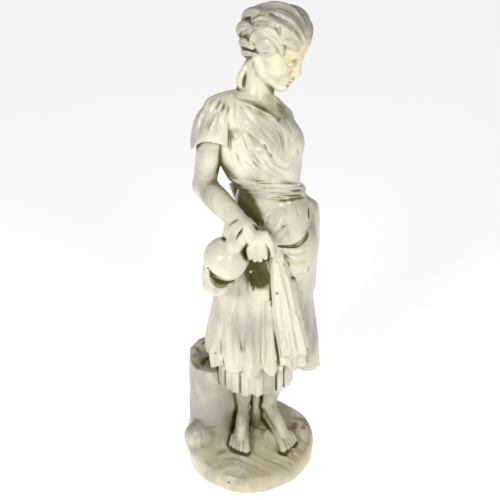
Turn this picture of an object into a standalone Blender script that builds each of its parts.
"""Carved marble statue of a standing girl with a jug, on a round rocky base.

Metres, +Z up. The origin is the centre of the round underside. The girl looks
towards +X and a little towards -Y, and her feet point towards -Y.
Everything is one block of stone, so every form below is fused into one solid.
"""
import math

import bmesh
import bpy
import numpy as np
from mathutils import Matrix, Vector

# ---------------------------------------------------------------- driving sizes
TOTAL_HEIGHT = 0.800
BASE_RADIUS = 0.119
BASE_THICKNESS = 0.032
VOXEL = 0.0032
TARGET_TRIANGLES = 9400

TORSO_YAW = math.radians(38.0)
PELVIS_YAW = math.radians(9.0)
HEAD_YAW = math.radians(62.0)
HEAD_PITCH = math.radians(27.0)

NECK_BASE = Vector((0.010, 0.004, 0.664))
HEAD_CENTRE = Vector((0.035, 0.000, 0.742))
WAIST_CENTRE = Vector((0.030, 0.002, 0.520))

SHOULDER_R = Vector((-0.051, -0.036, 0.650))
ELBOW_R = Vector((-0.0690, -0.012, 0.534))
WRIST_R = Vector((-0.008, -0.088, 0.502))
UPPER_ARM_RADIUS = 0.0200
FOREARM_RADIUS = 0.0185
WRIST_RADIUS = 0.0135

SHOULDER_L = Vector((0.047, 0.046, 0.620))
ELBOW_L = Vector((0.056, 0.076, 0.530))
WRIST_L = Vector((0.004, 0.066, 0.512))

HAND_R = Vector((0.011, -0.092, 0.474))
GATHER = Vector((0.030, -0.084, 0.474))
JUG_CENTRE = Vector((-0.036, -0.085, 0.448))
JUG_RADIUS = 0.0335
JUG_LIP = Vector((-0.0455, -0.087, 0.409))
JUG_LIP_RADIUS = 0.027

SKIRT_HEM_Z = 0.218
SKIRT_FRONT_LIFT = 0.002
UNDERSKIRT_HEM_Z = 0.162
SKIRT_FOLDS = 13
SKIRT_FOLD_DEPTH = 0.0040
RUFFLE_FOLDS = 22
RUFFLE_DEPTH = 0.0028

ANKLE_R = Vector((-0.013, 0.019, 0.075))
TOES_R = Vector((-0.019, -0.050, 0.040))
ANKLE_L = Vector((0.035, 0.027, 0.075))
TOES_L = Vector((0.072, -0.046, 0.040))
CALF_RADIUS = 0.0175
ANKLE_RADIUS = 0.0115
STUMP_CENTRE = Vector((-0.068, 0.024, 0.0))
STUMP_RADIUS = 0.041
STUMP_TOP_Z = 0.187


# ---------------------------------------------------------------- helpers
def clear_scene():
    for obj in list(bpy.data.objects):
        bpy.data.objects.remove(obj, do_unlink=True)


def make_collection(name):
    collection = bpy.data.collections.new(name)
    bpy.context.scene.collection.children.link(collection)
    return collection


def add_object(name, mesh, collection):
    obj = bpy.data.objects.new(name, mesh)
    collection.objects.link(obj)
    return obj


def smooth_curve(stations, count):
    """Catmull-Rom through the rows of stations, first column increasing or decreasing."""
    rows = np.array(stations, dtype=float)
    padded = np.vstack([2 * rows[0] - rows[1], rows, 2 * rows[-1] - rows[-2]])
    spots = np.linspace(0, len(rows) - 1 - 1e-9, count)
    out = []
    for spot in spots:
        i = int(spot)
        t = spot - i
        p0, p1, p2, p3 = padded[i:i + 4]
        out.append(0.5 * ((2 * p1) + (p2 - p0) * t + (2 * p0 - 5 * p1 + 4 * p2 - p3) * t * t
                          + (3 * p1 - p0 - 3 * p2 + p3) * t ** 3))
    return np.array(out)


def loft(name, stations, collection, around=96, levels=40, yaw=0.0, fold=None, lift=None):
    """Closed loft through oval rings given as (z, centre x, centre y, half width, half depth).

    fold(angle, t) moves the wall outwards; lift(angle, t) moves it upwards.
    """
    rings = smooth_curve(stations, levels)
    bm = bmesh.new()
    grid = []
    for level, (z, cx, cy, wide, deep) in enumerate(rings):
        t = level / (levels - 1)
        row = []
        for k in range(around):
            angle = 2 * math.pi * k / around
            push = fold(angle, t) if fold else 0.0
            x = (wide + push) * math.cos(angle)
            y = (deep + push) * math.sin(angle)
            up = lift(angle, t) if lift else 0.0
            row.append(bm.verts.new((cx + x * math.cos(yaw) - y * math.sin(yaw),
                                     cy + x * math.sin(yaw) + y * math.cos(yaw), z + up)))
        grid.append(row)
    for lower, upper in zip(grid, grid[1:]):
        for k in range(around):
            n = (k + 1) % around
            bm.faces.new((lower[k], lower[n], upper[n], upper[k]))
    bm.faces.new(list(reversed(grid[0])))
    bm.faces.new(grid[-1])
    bmesh.ops.recalc_face_normals(bm, faces=bm.faces)
    mesh = bpy.data.meshes.new(name)
    bm.to_mesh(mesh)
    bm.free()
    return add_object(name, mesh, collection)


def tube(name, points, radii, collection, flat_end=False):
    """Round limb along a smooth path, its radius changing from point to point."""
    count = 8 * (len(points) - 1) + 1
    rows = smooth_curve([(*p, r) for p, r in zip(points, radii)], count)
    curve = bpy.data.curves.new(name, "CURVE")
    curve.dimensions = "3D"
    curve.bevel_depth = 1.0
    curve.bevel_resolution = 6
    curve.use_fill_caps = True
    spline = curve.splines.new("POLY")
    spline.points.add(count - 1)
    for point, (x, y, z, r) in zip(spline.points, rows):
        point.co = (x, y, z, 1.0)
        point.radius = r
    holder = bpy.data.objects.new(name + "_path", curve)
    collection.objects.link(holder)
    bpy.context.view_layer.update()
    depsgraph = bpy.context.evaluated_depsgraph_get()
    mesh = bpy.data.meshes.new_from_object(holder.evaluated_get(depsgraph))
    bpy.data.objects.remove(holder, do_unlink=True)
    ball(name + "_start", points[0], (radii[0],) * 3, collection)
    if not flat_end:
        ball(name + "_end", points[-1], (radii[-1],) * 3, collection)
    return add_object(name, mesh, collection)


def ball(name, centre, radii, collection, turn=None):
    """Egg shape with half sizes radii, turned by the matrix turn."""
    bm = bmesh.new()
    bmesh.ops.create_uvsphere(bm, u_segments=32, v_segments=20, radius=1.0)
    matrix = Matrix.Translation(Vector(centre))
    if turn is not None:
        matrix = matrix @ turn.to_4x4()
    matrix = matrix @ Matrix.Diagonal((*radii, 1.0))
    bmesh.ops.transform(bm, matrix=matrix, verts=bm.verts)
    mesh = bpy.data.meshes.new(name)
    bm.to_mesh(mesh)
    bm.free()
    return add_object(name, mesh, collection)


def head_turn():
    """Head axes: local X is the face direction, local Y her left, local Z the crown."""
    face = Vector((math.sin(HEAD_YAW) * math.cos(HEAD_PITCH),
                   -math.cos(HEAD_YAW) * math.cos(HEAD_PITCH), -math.sin(HEAD_PITCH)))
    crown = Vector((math.sin(HEAD_YAW) * math.sin(HEAD_PITCH),
                    -math.cos(HEAD_YAW) * math.sin(HEAD_PITCH), math.cos(HEAD_PITCH)))
    left = crown.cross(face)
    return Matrix((face, left, crown)).transposed()


# ---------------------------------------------------------------- stone forms
def build_base(out):
    def rock(angle, t):
        return 0.0014 * math.sin(5 * angle + 1.0) + 0.0010 * math.sin(11 * angle)

    def uneven(angle, t):
        return t * (0.0022 * math.sin(3 * angle + 0.6) + 0.0014 * math.sin(9 * angle))

    r = BASE_RADIUS
    h = BASE_THICKNESS
    stations = [(-0.010, 0, 0, r - 0.002, r - 0.002), (0.004, 0, 0, r - 0.001, r - 0.001),
                (0.6 * h, 0, 0, r - 0.002, r - 0.002), (0.9 * h, 0, 0, r - 0.007, r - 0.007),
                (h, 0, 0, 0.72 * r, 0.72 * r)]
    loft("base", stations, out, around=120, levels=24, fold=rock, lift=uneven)
    ball("rock_left", (-0.100, -0.018, 0.044), (0.024, 0.030, 0.020), out)
    ball("rock_right", (0.074, 0.042, 0.024), (0.034, 0.030, 0.013), out)


def build_stump(out):
    def bark(angle, t):
        return 0.0030 * math.sin(4 * angle + 0.5) + 0.0016 * math.sin(9 * angle + 2 * t)

    def broken(angle, t):
        slope = 0.010 * math.sin(angle) - 0.006 * math.cos(angle)
        return max(0.0, t - 0.7) / 0.3 * (slope + 0.003 * math.sin(6 * angle))

    x = STUMP_CENTRE.x
    y = STUMP_CENTRE.y
    r = STUMP_RADIUS
    stations = [(0.015, x, y, 1.14 * r, 1.10 * r), (0.045, x, y, 1.06 * r, 1.05 * r),
                (0.085, x, y, 0.96 * r, 0.96 * r), (0.130, x, y, 0.95 * r, 0.96 * r),
                (0.165, x, y + 0.004, 0.98 * r, 0.98 * r),
                (STUMP_TOP_Z, x, y + 0.006, 0.90 * r, 0.92 * r)]
    loft("stump", stations, out, around=72, levels=24, fold=bark, lift=broken)
    ball("stump_root", (x - 0.012, y - 0.050, 0.034), (0.028, 0.022, 0.016), out)
    tube("stump_to_skirt", [(-0.045, 0.040, 0.10), (-0.030, 0.040, 0.20)], [0.030, 0.034], out)
    tube("leg_support", [(0.008, 0.044, 0.02), (0.010, 0.040, 0.11), (0.012, 0.030, 0.21)],
         [0.020, 0.016, 0.022], out)


def build_leg(side, ankle, toes, calf_top, out):
    heel = ankle + Vector((0.0, 0.010, -0.028))
    forward = (toes - heel).normalized()
    across = forward.cross(Vector((0, 0, 1))).normalized()
    instep = toes * 0.5 + ankle * 0.5
    tube("shin_" + side, [calf_top, ankle * 0.5 + calf_top * 0.5, ankle, heel],
         [CALF_RADIUS * 1.15, CALF_RADIUS, ANKLE_RADIUS, ANKLE_RADIUS * 1.15], out)
    tube("instep_" + side, [ankle, instep + Vector((0, 0, 0.003)), toes + Vector((0, 0, 0.003))],
         [ANKLE_RADIUS, ANKLE_RADIUS, 0.008], out)
    for edge in (-1, 1):
        ball_of_foot = toes - forward * 0.018 + across * edge * 0.0055
        tube("sole_" + side, [heel, (heel + ball_of_foot) / 2, ball_of_foot],
             [0.0125, 0.0115, 0.0120], out)
    for number in range(5):
        big = 1.0 - 0.085 * number
        outward = 1 if side == "r" else -1
        spread = (number - 1.7) * 0.0078 * outward
        tip = toes + across * spread - forward * 0.0032 * number
        tube("toe_" + side, [tip - forward * 0.014, tip], [0.0062 * big, 0.0058 * big], out)


def build_underskirt(out):
    def ruffle(angle, t):
        return t * RUFFLE_DEPTH * math.sin(RUFFLE_FOLDS * angle)

    def hem(angle, t):
        return t * 0.0035 * math.sin(RUFFLE_FOLDS / 2 * angle + 1.2)

    stations = [(0.300, 0.016, 0.002, 0.066, 0.050), (0.240, 0.011, 0.002, 0.060, 0.048),
                (0.205, 0.009, 0.002, 0.060, 0.049), (UNDERSKIRT_HEM_Z, 0.008, 0.002, 0.063, 0.052)]
    loft("underskirt", stations, out, around=176, levels=24, yaw=PELVIS_YAW, fold=ruffle, lift=hem)


def skirt_fold(angle, t):
    depth = SKIRT_FOLD_DEPTH * (0.15 + 0.85 * t ** 1.3)
    wave = math.sin(SKIRT_FOLDS * angle + 1.8 * math.sin(angle) + 0.6)
    wave = wave + 0.35 * math.sin(2.3 * SKIRT_FOLDS * angle + 2.0)
    return depth * wave


def build_skirt(out):
    def hem(angle, t):
        front = max(0.0, -math.sin(angle)) ** 1.5
        scallop = 0.0035 * math.sin(SKIRT_FOLDS * angle + 1.8 * math.sin(angle) + 2.2)
        return t ** 2 * (SKIRT_FRONT_LIFT * front + scallop)

    stations = [(0.530, 0.030, 0.002, 0.047, 0.040), (0.505, 0.033, 0.002, 0.058, 0.050),
                (0.460, 0.029, 0.002, 0.069, 0.057), (0.400, 0.025, 0.002, 0.074, 0.060),
                (0.340, 0.021, 0.002, 0.078, 0.062), (0.290, 0.019, 0.002, 0.086, 0.066),
                (0.245, 0.017, 0.002, 0.092, 0.069), (SKIRT_HEM_Z, 0.017, 0.003, 0.091, 0.069)]
    loft("skirt", stations, out, around=192, levels=60, yaw=0.5 * PELVIS_YAW,
         fold=skirt_fold, lift=hem)
    flap = [(0.380, 0.074, 0.016, 0.024, 0.032), (0.300, 0.083, 0.022, 0.025, 0.034),
            (0.240, 0.091, 0.026, 0.026, 0.033), (0.200, 0.096, 0.029, 0.026, 0.030),
            (0.172, 0.099, 0.031, 0.026, 0.027)]
    loft("side_flap", flap, out, around=48, levels=20, yaw=0.35,
         fold=lambda angle, t: 0.0025 * t * math.sin(7 * angle))


def build_overskirt(out):
    """The overskirt is lifted to the right hand: a full pouch, a sagging tier and a hanging end."""
    belly = Matrix.Rotation(math.radians(-14.0), 3, "Y")
    ball("pouch", (0.047, -0.008, 0.481), (0.049, 0.056, 0.040), out, belly)
    tube("pouch_to_hand", [(0.060, -0.046, 0.472), GATHER], [0.022, 0.010], out)
    ball("hip_tier", (0.038, 0.004, 0.434), (0.064, 0.062, 0.044), out)
    tube("sag_front", [GATHER, (0.062, -0.058, 0.438), (0.086, -0.030, 0.446), (0.088, 0.010, 0.480)],
         [0.010, 0.013, 0.016, 0.014], out)
    tube("sag_lower", [GATHER, (0.058, -0.060, 0.412), (0.080, -0.032, 0.404), (0.086, 0.012, 0.430)],
         [0.009, 0.011, 0.014, 0.012], out)
    end = [(0.476, 0.036, -0.076, 0.008, 0.010), (0.430, 0.044, -0.070, 0.013, 0.016),
           (0.370, 0.053, -0.066, 0.018, 0.017), (0.310, 0.064, -0.062, 0.023, 0.017),
           (0.262, 0.073, -0.057, 0.025, 0.016)]
    loft("hanging_end", end, out, around=56, levels=24, yaw=0.30,
         fold=lambda angle, t: (0.0012 + 0.0018 * t) * math.sin(9 * angle))


def build_torso(out):
    def folds(angle, t):
        return 0.0016 * math.sin(9 * angle + 9.0 * t)

    lean = 0.007
    stations = [(0.505, 0.031, 0.002, 0.051, 0.042), (0.530, 0.030, 0.002, 0.049, 0.043),
                (0.560, 0.020, 0.000, 0.062, 0.051), (0.595, 0.013, -0.001, 0.067, 0.053),
                (0.628, 0.008, 0.000, 0.062, 0.045), (0.650, 0.004, 0.001, 0.050, 0.034),
                (0.668, 0.008, 0.004, 0.030, 0.025)]

    def shoulder_tilt(angle, t):
        return -lean * t * math.cos(angle)

    loft("torso", stations, out, around=96, levels=40, yaw=TORSO_YAW, fold=folds,
         lift=shoulder_tilt)
    forward = Vector((math.sin(TORSO_YAW), -math.cos(TORSO_YAW), 0.0))
    across = Vector((math.cos(TORSO_YAW), math.sin(TORSO_YAW), 0.0))
    chest = Vector((0.012, 0.0, 0.603))
    for side in (-1, 1):
        ball("bust", chest + forward * 0.027 + across * side * 0.027, (0.030, 0.029, 0.028), out)
    tube("cowl_fold", [chest - across * 0.045 + forward * 0.030,
                       chest + forward * 0.052 - Vector((0, 0, 0.026)),
                       chest + across * 0.045 + forward * 0.022], [0.009, 0.011, 0.008], out)
    shoulder = SHOULDER_R + Vector((0.020, 0.012, 0.004))
    ball("shoulder_right", shoulder, (0.030, 0.027, 0.026), out)
    tube("collar_right", [SHOULDER_R + Vector((0.004, 0.002, 0.012)), NECK_BASE], [0.021, 0.024], out)
    tube("collar_left", [SHOULDER_L + Vector((-0.004, -0.012, 0.004)), NECK_BASE], [0.022, 0.022], out)
    ball("shoulder_left", SHOULDER_L + Vector((-0.010, -0.010, 0.002)), (0.024, 0.024, 0.022), out)


def build_sash(out):
    for z, push in ((0.544, 0.0010), (0.530, 0.0020), (0.516, 0.0020)):
        points = []
        for k in range(25):
            angle = 2 * math.pi * k / 24
            x = (0.0475 + push) * math.cos(angle)
            y = (0.0400 + push) * math.sin(angle)
            turn = 0.6 * TORSO_YAW
            points.append((0.0295 + x * math.cos(turn) - y * math.sin(turn),
                           0.002 + x * math.sin(turn) + y * math.cos(turn),
                           z - 0.20 * y))
        tube("sash_pleat", points, [0.0064] * len(points), out)
    ball("bow_knot", (0.078, 0.034, 0.511), (0.011, 0.011, 0.010), out)
    ball("bow_loop", (0.066, 0.050, 0.512), (0.017, 0.011, 0.011), out)
    tube("bow_tail", [(0.074, 0.042, 0.508), (0.070, 0.056, 0.470), (0.064, 0.058, 0.430)],
         [0.008, 0.007, 0.009], out)


def build_arms(out):
    tube("upper_arm_r", [SHOULDER_R, (SHOULDER_R + ELBOW_R) / 2, ELBOW_R],
         [0.022, UPPER_ARM_RADIUS, FOREARM_RADIUS], out)
    tube("forearm_r", [ELBOW_R, ELBOW_R * 0.6 + WRIST_R * 0.4, WRIST_R],
         [FOREARM_RADIUS, FOREARM_RADIUS, WRIST_RADIUS], out)
    tube("upper_arm_l", [SHOULDER_L, (SHOULDER_L + ELBOW_L) / 2, ELBOW_L],
         [0.022, UPPER_ARM_RADIUS, FOREARM_RADIUS], out)
    tube("forearm_l", [ELBOW_L, (ELBOW_L + WRIST_L) / 2 + Vector((0, 0.004, 0)), WRIST_L],
         [FOREARM_RADIUS, 0.016, WRIST_RADIUS], out)
    ball("hand_l", WRIST_L + Vector((-0.016, -0.006, -0.006)), (0.017, 0.010, 0.013), out)
    sleeve = [SHOULDER_R + Vector((0.008, 0.004, 0.004)), SHOULDER_R + Vector((-0.001, 0.0, -0.010)),
              SHOULDER_R + Vector((-0.004, 0.002, -0.034)), SHOULDER_R + Vector((-0.003, 0.004, -0.054))]
    tube("sleeve_r", sleeve, [0.0235, 0.0290, 0.0325, 0.0335], out, flat_end=True)
    sleeve = [SHOULDER_L, SHOULDER_L + Vector((0.002, 0.010, -0.020)),
              SHOULDER_L + Vector((0.003, 0.018, -0.044))]
    tube("sleeve_l", sleeve, [0.020, 0.024, 0.026], out, flat_end=True)
    tilt = Matrix.Rotation(math.radians(-22.0), 3, "Y")
    ball("palm", HAND_R, (0.0125, 0.0100, 0.0190), out, tilt)
    tube("wrist", [WRIST_R, HAND_R], [WRIST_RADIUS, 0.011], out)
    tube("thumb", [HAND_R + Vector((0.006, -0.004, 0.012)), HAND_R + Vector((0.015, -0.003, 0.002)),
                   HAND_R + Vector((0.018, -0.001, -0.014))], [0.0062, 0.0056, 0.0045], out)
    for k in range(3):
        start = HAND_R + Vector((-0.006 + 0.006 * k, -0.002, -0.010))
        tube("finger", [start, start + Vector((0.003, 0.004, -0.014))], [0.0052, 0.0044], out)


def build_jug(out, cutters):
    ball("jug_belly", JUG_CENTRE, (JUG_RADIUS,) * 3, out)
    lip = ball("jug_mouth", JUG_LIP, (JUG_LIP_RADIUS, 0.024, 0.023), out)
    hollow = ball("jug_hollow", JUG_LIP + Vector((0.003, -0.010, 0.012)),
                  (0.021, 0.023, 0.021), cutters)
    cut = lip.modifiers.new("hollow", "BOOLEAN")
    cut.operation = "DIFFERENCE"
    cut.solver = "EXACT"
    cut.object = hollow
    ball("jug_neck", (-0.057, -0.085, 0.430), (0.014, 0.016, 0.020), out)
    strap = Matrix.Rotation(math.radians(35.0), 3, "Y")
    ball("jug_strap", (-0.019, -0.094, 0.472), (0.019, 0.011, 0.017), out, strap)
    tube("jug_handle", [(-0.038, -0.084, 0.478), (-0.033, -0.078, 0.496), (-0.020, -0.070, 0.503),
                        (-0.008, -0.070, 0.488)], [0.0080, 0.0065, 0.0070, 0.009], out)
    tube("jug_to_skirt", [(-0.030, -0.078, 0.440), (-0.018, -0.045, 0.430)], [0.020, 0.020], out)


def build_head(out):
    turn = head_turn()

    def at(face, left, crown):
        return HEAD_CENTRE + turn @ Vector((face, left, crown))

    tube("neck", [NECK_BASE, (NECK_BASE + at(-0.014, 0, -0.020)) / 2, at(-0.012, 0.0, -0.016)],
         [0.027, 0.0225, 0.0225], out)
    ball("skull", at(-0.002, 0, 0.006), (0.043, 0.036, 0.041), out, turn)
    ball("cheeks", at(0.014, 0, -0.018), (0.027, 0.0275, 0.029), out, turn)
    ball("chin", at(0.028, 0, -0.040), (0.0115, 0.0120, 0.0100), out, turn)
    tube("nose", [at(0.036, 0, 0.000), at(0.0425, 0, -0.013)], [0.0040, 0.0055], out)
    ball("hair_cap", at(-0.007, 0, 0.016), (0.052, 0.044, 0.038), out, turn)
    ball("front_roll", at(0.026, -0.004, 0.030), (0.021, 0.038, 0.018), out, turn)
    for side in (-1, 1):
        ball("side_roll", at(-0.008, side * 0.034, 0.002), (0.023, 0.013, 0.018), out, turn)
    ball("back_hair", at(-0.038, 0, 0.002), (0.021, 0.031, 0.028), out, turn)
    ball("nape", at(-0.034, 0, -0.024), (0.017, 0.021, 0.018), out, turn)
    ball("nape_lock", at(-0.036, -0.004, -0.044), (0.008, 0.009, 0.014), out, turn)


def marble():
    material = bpy.data.materials.new("carved_marble")
    material.use_nodes = True
    shader = material.node_tree.nodes["Principled BSDF"]
    shader.inputs["Base Color"].default_value = (0.80, 0.78, 0.69, 1.0)
    shader.inputs["Roughness"].default_value = 0.28
    shader.inputs["Metallic"].default_value = 0.0
    return material


def apply_modifiers(obj):
    bpy.context.view_layer.update()
    depsgraph = bpy.context.evaluated_depsgraph_get()
    mesh = bpy.data.meshes.new_from_object(obj.evaluated_get(depsgraph))
    obj.modifiers.clear()
    obj.data = mesh


def fuse(forms, name, collection):
    """Join every form, fuse them with a voxel remesh, soften and lighten the surface."""
    bm = bmesh.new()
    for obj in forms:
        bm.from_mesh(obj.data)
    mesh = bpy.data.meshes.new(name)
    bm.to_mesh(mesh)
    bm.free()
    for obj in forms:
        bpy.data.objects.remove(obj, do_unlink=True)
    statue = add_object(name, mesh, collection)
    remesh = statue.modifiers.new("fuse", "REMESH")
    remesh.mode = "VOXEL"
    remesh.voxel_size = VOXEL
    soften = statue.modifiers.new("soften", "SMOOTH")
    soften.factor = 0.5
    soften.iterations = 2
    apply_modifiers(statue)
    return statue


def flatten_underside(statue):
    """Cut the block at z = 0 and close it with one flat face."""
    bm = bmesh.new()
    bm.from_mesh(statue.data)
    geometry = list(bm.verts) + list(bm.edges) + list(bm.faces)
    bmesh.ops.bisect_plane(bm, geom=geometry, plane_co=(0, 0, 0), plane_no=(0, 0, -1),
                           clear_outer=True, dist=1e-6)
    rim = [edge for edge in bm.edges if edge.is_boundary]
    bmesh.ops.holes_fill(bm, edges=rim, sides=0)
    bmesh.ops.recalc_face_normals(bm, faces=bm.faces)
    bm.to_mesh(statue.data)
    bm.free()


def lighten(statue):
    bm = bmesh.new()
    bm.from_mesh(statue.data)
    bmesh.ops.triangulate(bm, faces=bm.faces)
    count = len(bm.faces)
    bm.to_mesh(statue.data)
    bm.free()
    fewer = statue.modifiers.new("lighten", "DECIMATE")
    fewer.ratio = TARGET_TRIANGLES / count
    fewer.use_collapse_triangulate = True
    apply_modifiers(statue)


def main():
    clear_scene()
    collection = make_collection("classical_marble_statue")
    cutters = make_collection("cutters")
    cutters.hide_render = True
    build_base(collection)
    build_stump(collection)
    build_leg("r", ANKLE_R, TOES_R, Vector((-0.012, 0.010, 0.20)), collection)
    build_leg("l", ANKLE_L, TOES_L, Vector((0.046, 0.018, 0.19)), collection)
    build_underskirt(collection)
    build_skirt(collection)
    build_overskirt(collection)
    build_torso(collection)
    build_sash(collection)
    build_arms(collection)
    build_jug(collection, cutters)
    build_head(collection)
    for obj in collection.objects:
        if obj.modifiers:
            apply_modifiers(obj)
    for obj in cutters.objects:
        obj.display_type = "WIRE"
        obj.hide_render = True
    statue = fuse(list(collection.objects), "statue", collection)
    flatten_underside(statue)
    lighten(statue)
    statue.data.materials.clear()
    statue.data.materials.append(marble())
    for polygon in statue.data.polygons:
        polygon.use_smooth = True


main()
